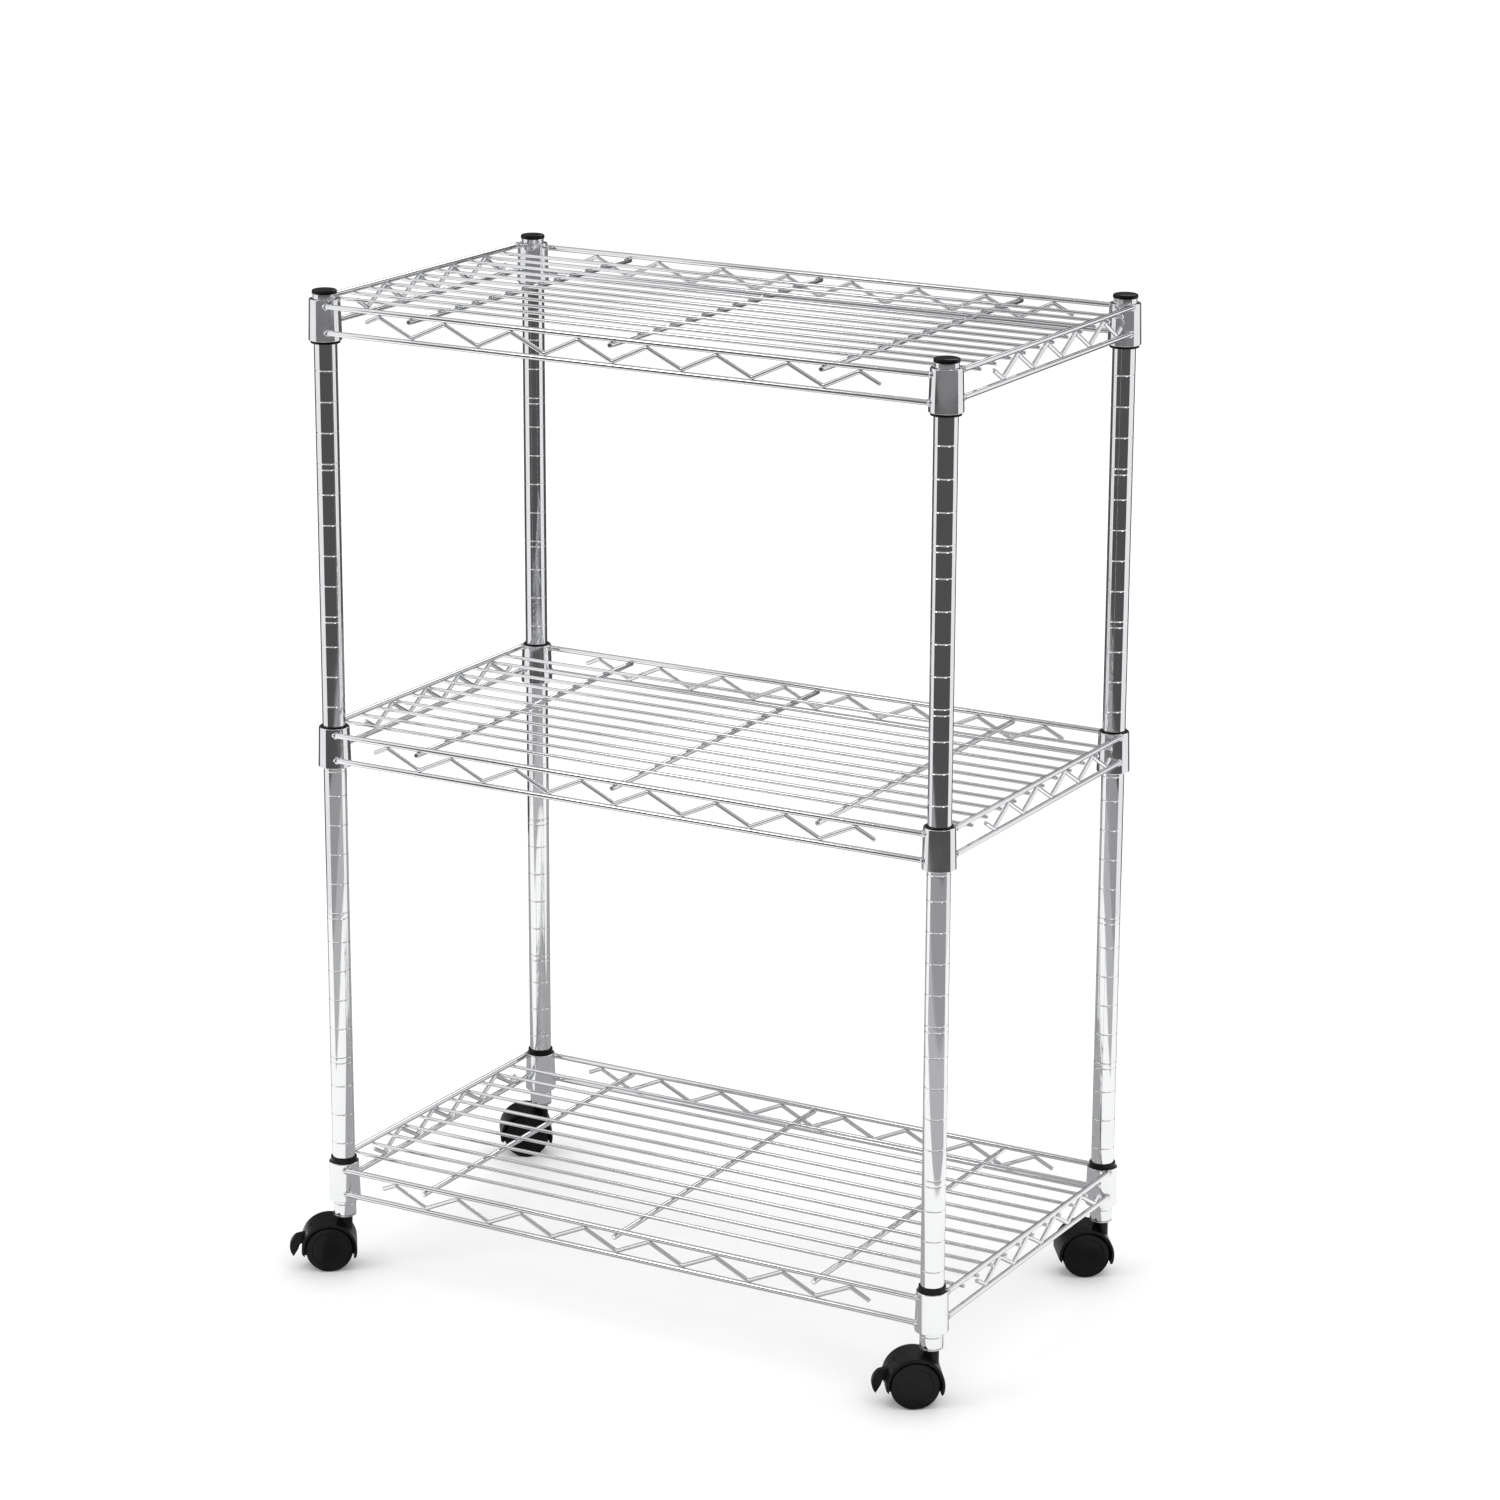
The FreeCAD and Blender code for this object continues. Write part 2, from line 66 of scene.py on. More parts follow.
rail_radius = 0.00225
truss_radius = 0.00175
truss_bend = 0.004
long_truss_pitch = 0.0619
long_truss_start = 0.0586
long_truss_peaks = 8
long_tails = (0.0124, 0.0177)
side_truss_pitch = 0.0504
side_truss_start = 0.0737
side_truss_valleys = 5
side_tails = (0.0152, 0.0081)
deck_count = 11
crossbar_valleys = (0, 3, 6)
bead_size = (0.0019, 0.0035, 0.0032)
bead_out = 0.0005
bead_rows, bead_columns = 12, 18
beads_per_shelf = 16
lump_mean = 0.86
lump_depth = 0.28
lump_scale = 1.6
lump_shift = (3.7, 1.3)         # from one bead's noise to the next one's

cap_thickness = 0.0035
cap_side = 0.0018               # straight part of a cap's side
cap_round_width = 0.0022
cap_round_height = 0.0013
cap_round_steps = 8
cap_crown_drop = 0.0001
wheel_rounding = 0.0016
wheel_rim_width = 0.005
wheel_dish_depth = 0.0008
axle_radius = 0.003
axle_clearance = 0.00005
bore_end_wall = 0.0024
bore_margin = 0.0006            # flat ring round the bore
face_margin = 0.0004            # flat ring inside the rounded edge
dish_margin = 0.0005            # flat ring on each side of the dish's slope
dish_slope = 0.0008
dish_steps = 6

shelves = ("top", "middle", "bottom")
places = ("front_left", "front_right", "back_left", "back_right")
braked = ("front_left", "front_right")

floor_half = 40
sheet_height = 0.002            # reflected sheets lie this far above the floor
sheet_step = 6                  # degrees
fewest_steps = 6
sheet_blue = 1.02
world_strength = 1.16
lamp_aim = (0, 0, 0.4)

plastic_black = (0.003, 0.003, 0.0035)


# Materials

def new_material(name, slot_name):
    material = bpy.data.materials.new(name)
    material.use_nodes = True
    material["slot"] = slot_name
    nodes = material.node_tree.nodes
    shader = nodes["Principled BSDF"]
    return material, nodes, material.node_tree.links, shader


def object_noise(nodes, links, scale, detail, stretch=(1, 1, 1)):
    """Noise in the piece's own coordinates, so that it stays on the surface."""
    place = nodes.new("ShaderNodeTexCoord")
    mapping = nodes.new("ShaderNodeMapping")
    mapping.inputs["Scale"].default_value = stretch
    texture = nodes.new("ShaderNodeTexNoise")
    texture.inputs["Scale"].default_value = scale
    texture.inputs["Detail"].default_value = detail
    links.new(place.outputs["Object"], mapping.inputs["Vector"])
    links.new(mapping.outputs["Vector"], texture.inputs["Vector"])
    return texture


def spread(nodes, links, source, low, high, from_low=0.35, from_high=0.65):
    """Maps a noise value to low..high."""
    ramp = nodes.new("ShaderNodeMapRange")
    ramp.inputs["From Min"].default_value = from_low
    ramp.inputs["From Max"].default_value = from_high
    ramp.inputs["To Min"].default_value = low
    ramp.inputs["To Max"].default_value = high
    links.new(source, ramp.inputs["Value"])
    return ramp.outputs["Result"]


def bump(nodes, links, shader, source, strength, distance):
    node = nodes.new("ShaderNodeBump")
    node.inputs["Strength"].default_value = strength
    node.inputs["Distance"].default_value = distance
    links.new(source, node.inputs["Height"])
    links.new(node.outputs["Normal"], shader.inputs["Normal"])


def blend_colours(nodes, links, shader, factor, first, second):
    mix = nodes.new("ShaderNodeMix")
    mix.data_type = "RGBA"
    mix.inputs["A"].default_value = (*first, 1)
    mix.inputs["B"].default_value = (*second, 1)
    links.new(factor, mix.inputs["Factor"])
    links.new(mix.outputs["Result"], shader.inputs["Base Color"])


def chrome_material(name, stretch, roughness=(0.03, 0.09), ripple=0.00002):
    """Bright plating: drawing marks along the piece, faint haze, and small ripples."""
    material, nodes, links, shader = new_material(name, "chrome")
    shader.inputs["Metallic"].default_value = 1.0
    haze = object_noise(nodes, links, scale=34.0, detail=4.0)
    blend_colours(nodes, links, shader, haze.outputs["Fac"], (0.78, 0.785, 0.79), (0.86, 0.865, 0.87))
    marks = object_noise(nodes, links, scale=900.0, detail=3.0, stretch=stretch)
    rough = spread(nodes, links, haze.outputs["Fac"], *roughness)
    links.new(rough, shader.inputs["Roughness"])
    bump(nodes, links, shader, marks.outputs["Fac"], strength=0.25, distance=ripple)
    return material


def weld_material():
    """Plated weld metal, rougher than the wire round it."""
    material, nodes, links, shader = new_material("weld_chrome", "chrome")
    shader.inputs["Metallic"].default_value = 1.0
    grain = object_noise(nodes, links, scale=900.0, detail=5.0)
    blend_colours(nodes, links, shader, grain.outputs["Fac"], (0.62, 0.62, 0.63), (0.84, 0.84, 0.85))
    links.new(spread(nodes, links, grain.outputs["Fac"], 0.10, 0.28), shader.inputs["Roughness"])
    bump(nodes, links, shader, grain.outputs["Fac"], strength=0.5, distance=0.0002)
    return material


def plastic_material(name, slot_name, colour, worn, roughness, grain_scale, grain_depth):
    """Moulded black plastic with a fine grain and lighter rubbed patches."""
    material, nodes, links, shader = new_material(name, slot_name)
    patches = object_noise(nodes, links, scale=60.0, detail=5.0)
    blend_colours(nodes, links, shader, spread(nodes, links, patches.outputs["Fac"], 0, 1), colour, worn)
    links.new(spread(nodes, links, patches.outputs["Fac"], *roughness), shader.inputs["Roughness"])
    grain = object_noise(nodes, links, scale=grain_scale, detail=2.0)
    bump(nodes, links, shader, grain.outputs["Fac"], strength=0.35, distance=grain_depth)
    shader.inputs["Specular IOR Level"].default_value = 0.15
    return material


def zinc_material():
    material, nodes, links, shader = new_material("zinc_steel_look", "zinc_steel")
    shader.inputs["Metallic"].default_value = 1.0
    spots = object_noise(nodes, links, scale=400.0, detail=4.0)
    blend_colours(nodes, links, shader, spots.outputs["Fac"], (0.50, 0.50, 0.50), (0.66, 0.66, 0.67))
    links.new(spread(nodes, links, spots.outputs["Fac"], 0.22, 0.38), shader.inputs["Roughness"])
    bump(nodes, links, shader, spots.outputs["Fac"], strength=0.3, distance=0.00005)
    return material


post_chrome = chrome_material("post_chrome", (1, 1, 0.02))
collar_chrome = chrome_material("collar_chrome", (1, 1, 0.05), (0.05, 0.14))
long_chrome = chrome_material("long_wire_chrome", (0.02, 1, 1))
side_chrome = chrome_material("side_wire_chrome", (1, 0.02, 1))
weld_chrome = weld_material()
trim_plastic = plastic_material("trim_plastic", "black_plastic", plastic_black,
                                (0.007, 0.007, 0.0075), (0.16, 0.28), 2500.0, 0.00002)
caster_plastic = plastic_material("caster_plastic_look", "caster_plastic", plastic_black,
                                  (0.006, 0.006, 0.0065), (0.22, 0.36), 2200.0, 0.00004)
wheel_plastic = plastic_material("wheel_plastic_look", "wheel_plastic", plastic_black,
                                 (0.006, 0.006, 0.0065), (0.13, 0.24), 1600.0, 0.00002)
zinc = zinc_material()


# Meshes

class Shape:
    """Vertices and faces of one piece, gathered before the mesh is made."""

    def __init__(self):
        self.points = []
        self.faces = []

    def rings(self, rings, closed_round=True, cap_ends=True):
        """Joins equal rings of points into a skin."""
        first = len(self.points)
        size = len(rings[0])
        for ring in rings:
            self.points += ring
        spans = size if closed_round else size - 1
        for row in range(len(rings) - 1):
            low = first + row * size
            for k in range(spans):
                n = (k + 1) % size
                self.faces.append((low + k, low + n, low + size + n, low + size + k))
        if cap_ends:
            self.faces.append(tuple(first + k for k in reversed(range(size))))
            last = first + (len(rings) - 1) * size
            self.faces.append(tuple(last + k for k in range(size)))

    def tube(self, path, radius, sides=28, rounding=0.4):
        """Round wire along a path, with softly broken edges at both ends."""
        rings = []
        soft = radius * rounding
        steps = 3
        ends = []
        for k in range(steps + 1):
            angle = math.pi / 2 * k / steps
            ends.append((soft * (1 - math.sin(angle)), radius - soft * (1 - math.cos(angle))))
        start_way = (path[1] - path[0]).normalized()
        end_way = (path[-1] - path[-2]).normalized()
        side = start_way.orthogonal().normalized()
        for inset, size in reversed(ends):
            rings.append(circle(path[0] + start_way * inset, start_way, side, size, sides))
        way = start_way
        for before, here, after in zip(path, path[1:], path[2:]):
            tangent = ((here - before).normalized() + (after - here).normalized()).normalized()
            side = way.rotation_difference(tangent) @ side
            way = tangent
            rings.append(circle(here, way, side, radius, sides))
        side = way.rotation_difference(end_way) @ side
        for inset, size in ends:
            rings.append(circle(path[-1] - end_way * inset, end_way, side, size, sides))
        self.rings(rings)

    def turned(self, outline, centre, segments=72, start=0.0, sweep=2 * math.pi):
        """Turned piece about a vertical axis from (radius, height) points; the outline is closed."""
        whole = abs(sweep - 2 * math.pi) < 1e-6
        steps = segments if whole else segments + 1
        first = len(self.points)
        size = len(outline)
        for step in range(steps):
            angle = start + sweep * step / segments
            for r, z in outline:
                self.points.append(Vector((centre[0] + r * math.cos(angle),
                                           centre[1] + r * math.sin(angle), z)))
        for step in range(segments):
            here = first + step * size
            there = first + ((step + 1) % steps) * size
            for k in range(size):
                n = (k + 1) % size
                self.faces.append((here + k, there + k, there + n, here + n))
        if not whole:
            self.faces.append(tuple(first + k for k in range(size)))
            last = first + (steps - 1) * size
            self.faces.append(tuple(last + k for k in reversed(range(size))))

    def build(self, name, material, sharp=50):
        mesh = bpy.data.meshes.new(name)
        mesh.from_pydata([tuple(p) for p in self.points], [], self.faces)
        mesh.validate()
        mesh.materials.append(material)
        mesh.shade_smooth()
        mesh.set_sharp_from_angle(angle=math.radians(sharp))
        piece = bpy.data.objects.new(name, mesh)
        bpy.context.scene.collection.objects.link(piece)
        even = piece.modifiers.new("even_normals", "WEIGHTED_NORMAL")
        even.keep_sharp = True
        return piece


def circle(centre, way, side, radius, sides):
    other = way.cross(side)
    return [centre + (side * math.cos(a) + other * math.sin(a)) * radius
            for a in (2 * math.pi * k / sides for k in range(sides))]


def arc_points(corners, bend, steps=7):
    """Path through corners, with each inner corner rounded to the bend radius."""
    path = [corners[0]]
    for before, corner, after in zip(corners, corners[1:], corners[2:]):
        back = (before - corner).normalized()
        ahead = (after - corner).normalized()
        half = back.angle(ahead) / 2
        centre = corner + (back + ahead).normalized() * (bend / math.sin(half))
        start = corner + back * (bend / math.tan(half)) - centre
        finish = corner + ahead * (bend / math.tan(half)) - centre
        turn = start.rotation_difference(finish)
        for k in range(steps + 1):
            path.append(centre + Matrix.Rotation(turn.angle * k / steps, 3, turn.axis) @ start)
    path.append(corners[-1])
    return path


def clean(piece):
    """Merges the points that meet on a turned piece's axis or at a bead's poles."""
    mesh = bmesh.new()
    mesh.from_mesh(piece.data)
    bmesh.ops.remove_doubles(mesh, verts=mesh.verts, dist=1e-6)
    bmesh.ops.dissolve_degenerate(mesh, dist=1e-7, edges=mesh.edges)
    mesh.to_mesh(piece.data)
    mesh.free()


def place_piece(piece, body, slot_name, *nodes):
    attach(piece, body)
    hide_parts(*nodes)
    return piece


def softened(outline, radius, steps=4):
    """Closed (radius, height) outline with every corner rounded."""
    sides_per_cut = 2.05        # a cut stays just under half of a side
    points = [Vector((r, z)) for r, z in outline]
    soft = []
    for k, corner in enumerate(points):
        back = points[k - 1] - corner
        ahead = points[(k + 1) % len(points)] - corner
        cut = min(radius, back.length / sides_per_cut, ahead.length / sides_per_cut)
        start = corner + back.normalized() * cut
        finish = corner + ahead.normalized() * cut
        for step in range(steps + 1):
            t = step / steps
            soft.append(start.lerp(corner, t).lerp(corner.lerp(finish, t), t))
    return [tuple(p) for p in soft]


# Where things stand, from the frame

def post_centre(place):
    low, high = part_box("post_" + place)
    return (low + high) / 2


post_low, post_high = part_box("post_front_left")
post_radius = (post_high.x - post_low.x) / 2
left_x = post_centre("front_left").x
right_x = post_centre("front_right").x
front_y = post_centre("front_left").y
back_y = post_centre("back_left").y


def collar_span(shelf):
    low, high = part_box(shelf + "_shelf_collars")
    lower_radius = high.x - right_x
    return low.z, high.z, lower_radius - collar_taper, lower_radius


def cone_radius(shelf, z):
    """Outer radius of a collar's cone, carried on past its ends."""
    low, high, upper_radius, lower_radius = collar_span(shelf)
    slope = (lower_radius - upper_radius) / (high - low)
    return upper_radius + slope * (high - z)


def rail_levels(shelf, kind):
    low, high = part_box(f"{shelf}_shelf_{kind}_rails")
    return high.z - rail_radius, low.z + rail_radius


# Posts

def groove_outline(low, high):
    """Outer line of a post, with a rounded dip at every groove."""
    heights = []
    index = 0
    while high - groove_below_top - index * groove_pitch > low + 2 * groove_half_width:
        level = high - groove_below_top - index * groove_pitch
        heights.append(level)
        if index % groove_double_every == 0:
            heights.append(level - groove_double_gap)
        index += 1
    line = [(post_radius - post_round, low), (post_radius, low + post_round)]
    for level in sorted(heights):
        for k in range(-groove_steps, groove_steps + 1):
            depth = groove_depth * 0.5 * (1 + math.cos(math.pi * k / groove_steps))
            line.append((post_radius - depth, level + groove_half_width * k / groove_steps))
    line += [(post_radius, high - post_round), (post_radius - post_round, high)]
    return line


def make_post(place):
    node = "post_" + place
    low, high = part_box(node)
    outline = groove_outline(low.z, high.z)
    outline += [(post_radius - post_wall, high.z), (post_radius - post_wall, low.z)]
    shape = Shape()
    shape.turned(outline, post_centre(place), segments=80)
    place_piece(shape.build("chrome_post_" + place, post_chrome), "frame", "chrome", node)


def make_caps():
    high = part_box("post_caps")[1]
    cap_radius = high.x - right_x
    base = high.z - cap_thickness
    outline = [(0.0, base), (cap_radius, base), (cap_radius, base + cap_side)]
    for k in range(1, cap_round_steps + 1):
        t = math.pi / 2 * k / cap_round_steps
        outline.append((cap_radius - cap_round_width * (1 - math.cos(t)),
                        base + cap_side + cap_round_height * math.sin(t)))
    outline += [(cap_radius * 0.5, high.z - cap_crown_drop), (0.0, high.z)]
    shape = Shape()
    for place in places:
        shape.turned(outline, post_centre(place), segments=64)
    piece = shape.build("post_cap_domes", trim_plastic, sharp=35)
    clean(piece)
    place_piece(piece, "frame", "black_plastic", "post_caps")


# Shelf corners

def make_collars(shelf):
    low, high, upper_radius, lower_radius = collar_span(shelf)
    outline = softened([(lower_radius - collar_wall, low), (lower_radius, low),
                        (upper_radius, high), (upper_radius - collar_wall, high)], collar_round)
    shape = Shape()
    for place in places:
        shape.turned(outline, post_centre(place), segments=80)
    piece = shape.build(shelf + "_collar_cones", collar_chrome)
    place_piece(piece, "frame", "chrome", shelf + "_shelf_collars")


def make_sleeves(shelf):
    node = shelf + "_shelf_sleeves"
    low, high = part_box(node)
    low_radius = cone_radius(shelf, low.z) - collar_wall
    high_radius = cone_radius(shelf, high.z) - collar_wall
    outline = softened([(post_radius, low.z), (low_radius, low.z), (high_radius, high.z),
                        (post_radius, high.z)], sleeve_round, steps=3)
    gap = sleeve_split / post_radius
    shape = Shape()
    for place in places:
        for start in (0, math.pi):
            shape.turned(outline, post_centre(place), segments=40, start=start, sweep=math.pi - gap)
    place_piece(shape.build(shelf + "_split_sleeves", trim_plastic), "frame", "black_plastic", node)


# Shelf wires

def make_rods(name, material, node, spans, radius):
    parts = 4
    shape = Shape()
    for start, finish in spans:
        path = [Vector(start).lerp(Vector(finish), k / parts) for k in range(parts + 1)]
        shape.tube(path, radius)
    place_piece(shape.build(name, material), "frame", "chrome", node)


def make_long_rails(shelf):
    node = shelf + "_shelf_long_rails"
    low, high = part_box(node)
    spans = []
    for y in (low.y + rail_radius, high.y - rail_radius):
        for z in rail_levels(shelf, "long"):
            spans.append(((low.x, y, z), (high.x, y, z)))
    make_rods(shelf + "_long_rail_wires", long_chrome, node, spans, rail_radius)


def make_side_rails(shelf):
    node = shelf + "_shelf_side_rails"
    low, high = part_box(node)
    spans = []
    for x in (low.x + rail_radius, high.x - rail_radius):
        for z in rail_levels(shelf, "side"):
            spans.append(((x, low.y, z), (x, high.y, z)))
    make_rods(shelf + "_side_rail_wires", side_chrome, node, spans, rail_radius)


def zigzag(low, high, count, pitch, start, peak_first, tails):
    """Corners of a truss wire as (distance, height) between the heights of its two axes."""
    half = pitch / 2
    overshoot = truss_bend * (1 / math.cos(math.atan2(high - low, half)) - 1)
    peak = high + overshoot
    valley = low - overshoot
    corners = []
    for index in range(2 * count - 1):
        at_peak = (index % 2 == 0) == peak_first
        corners.append((start + index * half, peak if at_peak else valley))
    step = (valley - peak) / half if peak_first else (peak - valley) / half
    first = (corners[0][0] - tails[0], corners[0][1] + step * tails[0])
    last = (corners[-1][0] + tails[1], corners[-1][1] + step * tails[1])
    return [first] + corners + [last]


def make_long_trusses(shelf):
    node = shelf + "_shelf_long_trusses"
    low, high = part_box(node)
    corners = zigzag(low.z + truss_radius, high.z - truss_radius, long_truss_peaks, long_truss_pitch,
                     left_x + long_truss_start, True, long_tails)
    shape = Shape()
    for y in (low.y + truss_radius, high.y - truss_radius):
        shape.tube(arc_points([Vector((x, y, z)) for x, z in corners], truss_bend), truss_radius, sides=24)
    place_piece(shape.build(shelf + "_long_zigzags", long_chrome), "frame", "chrome", node)


def make_side_trusses(shelf):
    node = shelf + "_shelf_side_trusses"
    low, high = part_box(node)
    corners = zigzag(low.z + truss_radius, high.z - truss_radius, side_truss_valleys, side_truss_pitch,
                     front_y + side_truss_start, False, side_tails)
    shape = Shape()
    for x in (low.x + truss_radius, high.x - truss_radius):
        shape.tube(arc_points([Vector((x, y, z)) for y, z in corners], truss_bend), truss_radius, sides=24)
    place_piece(shape.build(shelf + "_side_zigzags", side_chrome), "frame", "chrome", node)


def make_crossbars(shelf):
    node = shelf + "_shelf_crossbars"
    low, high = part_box(node)
    z = (low.z + high.z) / 2
    first = left_x + long_truss_start + long_truss_pitch / 2
    spans = []
    for valley in crossbar_valleys:
        x = first + valley * long_truss_pitch
        spans.append(((x, low.y, z), (x, high.y, z)))
    make_rods(shelf + "_crossbar_wires", side_chrome, node, spans, (high.z - low.z) / 2)


def make_deck_wires(shelf):
    node = shelf + "_shelf_deck_wires"
    low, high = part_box(node)
    radius = (high.z - low.z) / 2
    z = (low.z + high.z) / 2
    spans = []
    for index in range(deck_count):
        y = low.y + radius + (high.y - low.y - 2 * radius) * index / (deck_count - 1)
        spans.append(((low.x, y, z), (high.x, y, z)))
    make_rods(shelf + "_deck_wire_rows", long_chrome, node, spans, radius)


def bead_mesh(shape, centre, angle, seed):
    """One lump of weld metal, flattened towards the collar."""
    first = len(shape.points)
    rows, columns = bead_rows, bead_columns
    turn = Matrix.Rotation(angle, 3, "Z")
    for row in range(rows + 1):
        tilt = math.pi * row / rows
        for column in range(columns):
            round_angle = 2 * math.pi * column / columns
            way = Vector((math.sin(tilt) * math.cos(round_angle),
                          math.sin(tilt) * math.sin(round_angle), math.cos(tilt)))
            shift = Vector((seed * lump_shift[0], seed * lump_shift[1], 0))
            lump = lump_mean + lump_depth * noise.noise(way * lump_scale + shift)
            local = Vector((way.x * bead_size[0], way.y * bead_size[1], way.z * bead_size[2])) * lump
            shape.points.append(centre + turn @ local)
    for row in range(rows):
        for column in range(columns):
            n = (column + 1) % columns
            a = first + row * columns
            shape.faces.append((a + column, a + columns + column, a + columns + n, a + n))


def make_weld_beads(shelf):
    rail_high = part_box(shelf + "_shelf_long_rails")[1]
    outset = rail_high.y - rail_radius - back_y
    shape = Shape()
    seed = shelves.index(shelf) * beads_per_shelf
    for place in places:
        post = post_centre(place)
        for kind in ("long", "side"):
            for z in rail_levels(shelf, kind):
                radius = cone_radius(shelf, z)
                angle = math.asin(outset / radius)
                near = math.cos(angle) * (radius + bead_out)
                out = math.sin(angle) * (radius + bead_out)
                dx = -math.copysign(near, post.x) if kind == "long" else math.copysign(out, post.x)
                dy = math.copysign(out, post.y) if kind == "long" else -math.copysign(near, post.y)
                bead_mesh(shape, Vector((post.x + dx, post.y + dy, z)), math.atan2(dy, dx), seed)
                seed += 1
    piece = shape.build(shelf + "_weld_lumps", weld_chrome, sharp=80)
    clean(piece)
    place_piece(piece, "frame", "chrome", shelf + "_shelf_weld_beads")


# Wheels

def quarter(corner, back, ahead, radius, steps=8):
    """Points of a quarter circle that rounds one square corner of an outline."""
    corner, back, ahead = Vector(corner), Vector(back), Vector(ahead)
    centre = corner + (back + ahead) * radius
    return [tuple(centre - (ahead * math.cos(angle) + back * math.sin(angle)) * radius)
            for angle in (math.pi / 2 * k / steps for k in range(steps + 1))]


def wheel_outline(radius, inner, outer):
    """(radius, distance along the axle) of a wheel, with a shallow dish in its outer face."""
    bore = axle_radius + axle_clearance
    dish = radius - wheel_rim_width
    floor = outer - wheel_dish_depth
    flat = radius - wheel_rounding - face_margin
    line = [(bore, inner), (bore + bore_margin, inner), (flat, inner)]
    line += quarter((radius, inner), (-1, 0), (0, 1), wheel_rounding)
    line += quarter((radius, outer), (0, -1), (-1, 0), wheel_rounding)
    line += [(flat, outer), (dish + dish_margin, outer)]
    line += [(dish - dish_slope * t, outer - wheel_dish_depth * (3 * t * t - 2 * t ** 3))
             for t in (k / dish_steps for k in range(dish_steps + 1))]
    line += [(dish - dish_slope - dish_margin, floor), (0.0, floor)]
    line += [(0.0, outer - bore_end_wall), (bore, outer - bore_end_wall)]
    return line


def make_wheel(place, side):
    node = f"caster_{place}_wheel_{side}"
    joint = next(row for row in frame["joints"] if row["name"] == f"roll_{place}_{side}")
    axis = Vector(joint["axis"]).normalized()
    axle_point = Vector(joint["pos_m"])
    low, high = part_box(node)
    offset = (low + high) / 2 - axle_point
    if offset.dot(axis) < 0:
        axis = -axis
    radius = (high.z - low.z) / 2
    middle = offset.dot(axis)
    half_width = ((high.x - low.x) / 2 - radius * abs(axis.y)) / abs(axis.x)
    shape = Shape()
    shape.turned(wheel_outline(radius, middle - half_width, middle + half_width), (0, 0), segments=96)
    turn = Vector((0, 0, 1)).rotation_difference(axis).to_matrix()
    shape.points = [turn @ point + axle_point for point in shape.points]
    piece = shape.build(node + "_disc", wheel_plastic, sharp=40)
    clean(piece)
    place_piece(piece, node, "wheel_plastic", node)


# Carried nodes

def finish_node(node, material):
    for slot in frame["nodes"][node].material_slots:
        slot.material = material


def dress_casters():
    for place in places:
        prefix = "caster_" + place
        finish_node(prefix + "_housing", caster_plastic)
        finish_node(prefix + "_axle", zinc)
        finish_node(prefix + "_stem", zinc)
        if place in braked:
            finish_node(prefix + "_brake_lever", caster_plastic)
            finish_node(prefix + "_brake_pin", zinc)
    finish_node("post_inserts", zinc)


# Stage, lights and camera

def make_floor():
    half = floor_half
    mesh = bpy.data.meshes.new("floor")
    corners = [(-half, -half, 0), (half, -half, 0), (half, half, 0), (-half, half, 0)]
    mesh.from_pydata(corners, [], [(0, 1, 2, 3)])
    floor = bpy.data.objects.new("floor", mesh)
    material = bpy.data.materials.new("floor_finish")
    material.use_nodes = True
    shader = material.node_tree.nodes["Principled BSDF"]
    shader.inputs["Base Color"].default_value = (0.90, 0.90, 0.90, 1)
    shader.inputs["Roughness"].default_value = 1.0
    shader.inputs["Specular IOR Level"].default_value = 0.0
    mesh.materials.append(material)
    bpy.context.scene.collection.objects.link(floor)


def sheet_round(name, azimuths, low, high, shade):
    """Sheet that only the shiny surfaces see, as a studio's flags, walls and ceiling are.

    It goes round the rack over a range of azimuths, between two (radius, height) places."""
    start, finish = azimuths
    steps = max(fewest_steps, int((finish - start) / sheet_step))
    points = []
    for k in range(steps + 1):
        angle = math.radians(start + (finish - start) * k / steps)
        points += [(r * math.cos(angle), r * math.sin(angle), z) for r, z in (low, high)]
    faces = [(2 * k, 2 * k + 1, 2 * k + 3, 2 * k + 2) for k in range(steps)]
    mesh = bpy.data.meshes.new(name)
    mesh.from_pydata(points, [], faces)
    card = bpy.data.objects.new(name, mesh)
    material = bpy.data.materials.new(name + "_finish")
    material.use_nodes = True
    nodes = material.node_tree.nodes
    nodes.clear()
    glow = nodes.new("ShaderNodeEmission")
    glow.inputs["Color"].default_value = (shade, shade, shade * sheet_blue, 1)
    out = nodes.new("ShaderNodeOutputMaterial")
    material.node_tree.links.new(glow.outputs["Emission"], out.inputs["Surface"])
    mesh.materials.append(material)
    bpy.context.scene.collection.objects.link(card)
    card.visible_camera = False
    card.visible_diffuse = False
    card.visible_shadow = False


def floor_sheet(name, azimuths, inner, outer, shade):
    sheet_round(name, azimuths, (inner, sheet_height), (outer, sheet_height), shade)


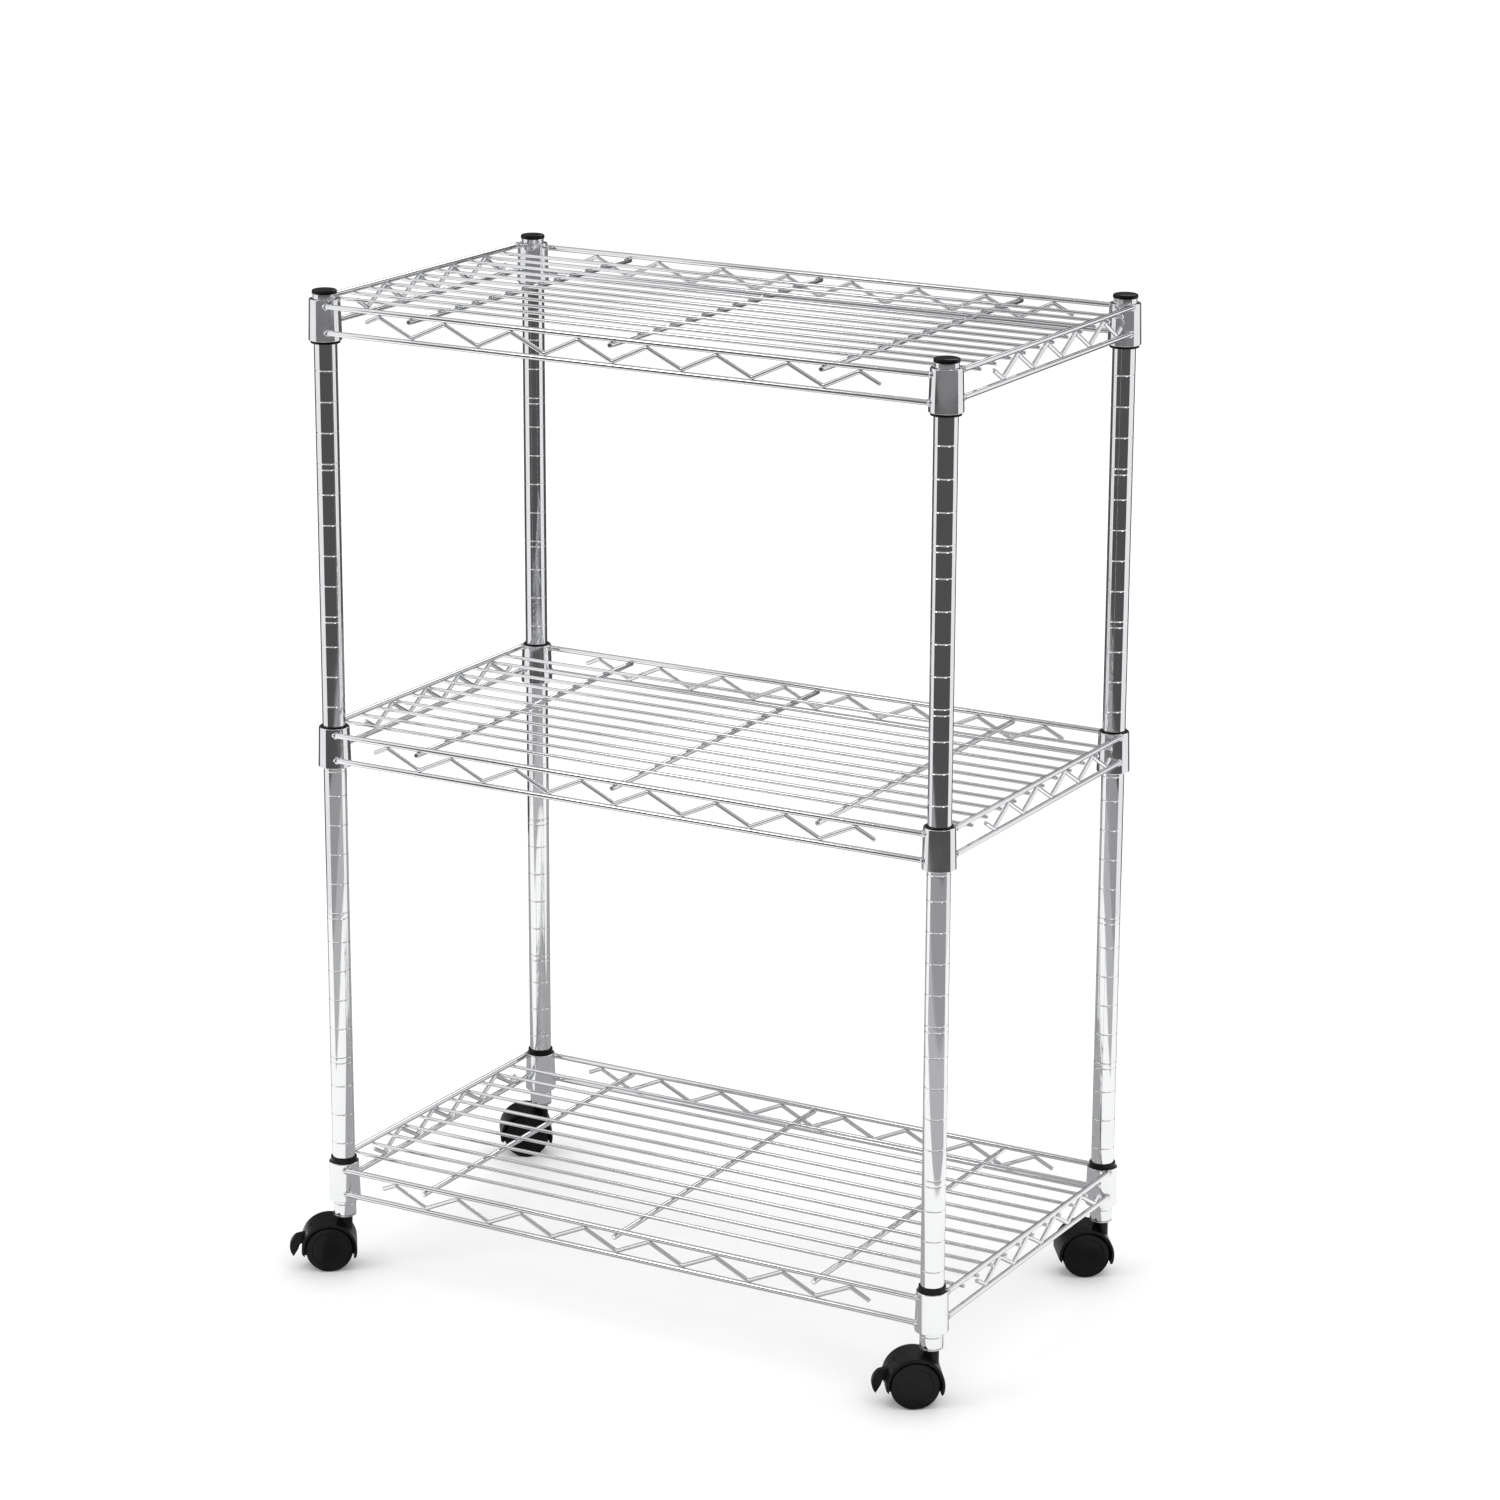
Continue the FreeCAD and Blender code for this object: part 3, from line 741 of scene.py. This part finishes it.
def make_surround():
    """What the chrome mirrors: a floor that darkens outwards, dark walls, white cards, a grey ceiling."""
    front = (-130, 10)
    right = (8, 57)
    back = (57, 184)
    left = (184, 231)
    all_round = (0, 360)
    past_front = (front[1], front[0] + 360)
    rack_edge = 0.34
    back_dark_edge = 1.30
    near_edge = 0.78
    middle_edge = 1.15
    dark_edge = 1.72
    far_edge = 5.5
    wall_radius = 9.0
    wall_height = 5.0
    card_low, card_high = (1.28, 0.01), (1.28, 2.4)
    floor_sheet("under_rack", all_round, 0.0, rack_edge, shade=0.42)
    floor_sheet("near_back_floor", back, rack_edge, back_dark_edge, shade=0.42)
    floor_sheet("near_floor", front, near_edge, middle_edge, shade=0.52)
    floor_sheet("middle_floor", front, middle_edge, dark_edge, shade=0.36)
    floor_sheet("dark_floor", front, dark_edge, far_edge, shade=0.088)
    floor_sheet("dark_back_floor", past_front, back_dark_edge, far_edge, shade=0.088)
    floor_sheet("far_floor", all_round, far_edge, wall_radius, shade=0.25)
    for name, azimuths in (("front_wall", front), ("back_wall", back)):
        sheet_round(name, azimuths, (wall_radius, 0.0), (wall_radius, wall_height), shade=0.12)
    for name, azimuths in (("right_card", right), ("left_card", left)):
        sheet_round(name, azimuths, card_low, card_high, shade=0.95)
    sheet_round("grey_ceiling", all_round, (0.0, wall_height), (wall_radius, wall_height), shade=0.52)


def area_light(name, location, target, size, power):
    light = bpy.data.lights.new(name, "AREA")
    light.shape = "RECTANGLE"
    light.size, light.size_y = size
    light.energy = power
    lamp = bpy.data.objects.new(name, light)
    lamp.location = location
    lamp.rotation_euler = (Vector(target) - Vector(location)).to_track_quat("-Z", "Y").to_euler()
    bpy.context.scene.collection.objects.link(lamp)


def make_stage():
    make_floor()
    make_surround()
    world = bpy.data.worlds.new("studio")
    world.use_nodes = True
    world.node_tree.nodes["Background"].inputs["Color"].default_value = (1, 1, 1, 1)
    world.node_tree.nodes["Background"].inputs["Strength"].default_value = world_strength
    bpy.context.scene.world = world
    bpy.context.scene.view_settings.view_transform = "Standard"
    area_light("key", (-2.2, -2.6, 3.2), lamp_aim, size=(0.9, 0.9), power=16)
    area_light("fill", (2.8, -1.2, 3.2), lamp_aim, size=(0.9, 0.9), power=10)
    area_light("back", (-0.8, 3.2, 3.0), lamp_aim, size=(1.2, 1.0), power=10)


def make_camera():
    data = bpy.data.cameras.new("camera")
    data.sensor_width = 36.0
    data.lens = 107.76
    camera = bpy.data.objects.new("camera", data)
    camera.location = (1.7744, -3.0755, 1.4743)
    yaw, pitch, roll = 0.5172, 0.2787, 0.0038
    turn = Matrix.Rotation(yaw, 3, "Z") @ Matrix.Rotation(math.pi / 2 - pitch, 3, "X")
    camera.rotation_euler = (turn @ Matrix.Rotation(roll, 3, "Z")).to_euler()
    bpy.context.scene.collection.objects.link(camera)
    bpy.context.scene.camera = camera


make_camera()
make_stage()
for place in places:
    make_post(place)
make_caps()
for shelf in shelves:
    make_collars(shelf)
    make_sleeves(shelf)
    make_long_rails(shelf)
    make_side_rails(shelf)
    make_long_trusses(shelf)
    make_side_trusses(shelf)
    make_crossbars(shelf)
    make_deck_wires(shelf)
    make_weld_beads(shelf)
for place in places:
    for side in ("left", "right"):
        make_wheel(place, side)
dress_casters()
